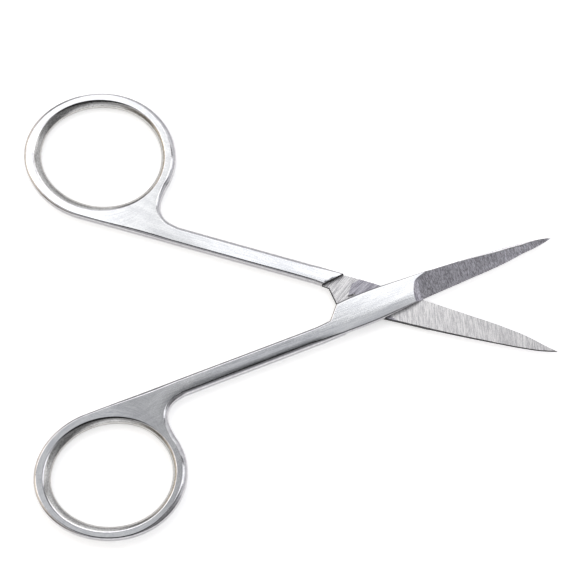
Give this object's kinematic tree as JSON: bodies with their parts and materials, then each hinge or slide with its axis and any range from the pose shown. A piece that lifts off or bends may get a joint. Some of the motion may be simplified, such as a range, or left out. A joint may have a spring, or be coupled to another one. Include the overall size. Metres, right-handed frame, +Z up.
{
  "type": "thread snips",
  "caption": "Fine-point steel thread snips with finger rings: slim straight blades lapped on a countersunk pivot screw.",
  "frame": {"origin": "middle of the open snips' outline, on the surface they rest on", "axes": "+X towards the tips, along the line that halves the opening; +Y towards the lower half's ring; +Z up, out of the upper half's face"},
  "size_m": [0.1052, 0.091, 0.0028],
  "materials": {
    "satin_steel": "satin, ground across the blades and along the shanks, polished at the rings",
    "screw_steel": "turned and polished"
  },
  "bodies": {
    "upper": {"upper_half": "satin_steel", "pivot_screw": "screw_steel"},
    "lower": {"lower_half": "satin_steel"}
  },
  "joints": [
    {"name": "pivot", "type": "hinge", "parent": "upper", "child": "lower", "pos_m": [0.01816, 0, 0.0014], "axis": [0, 0, -1], "range_deg": [-36.9, 100]}
  ]
}
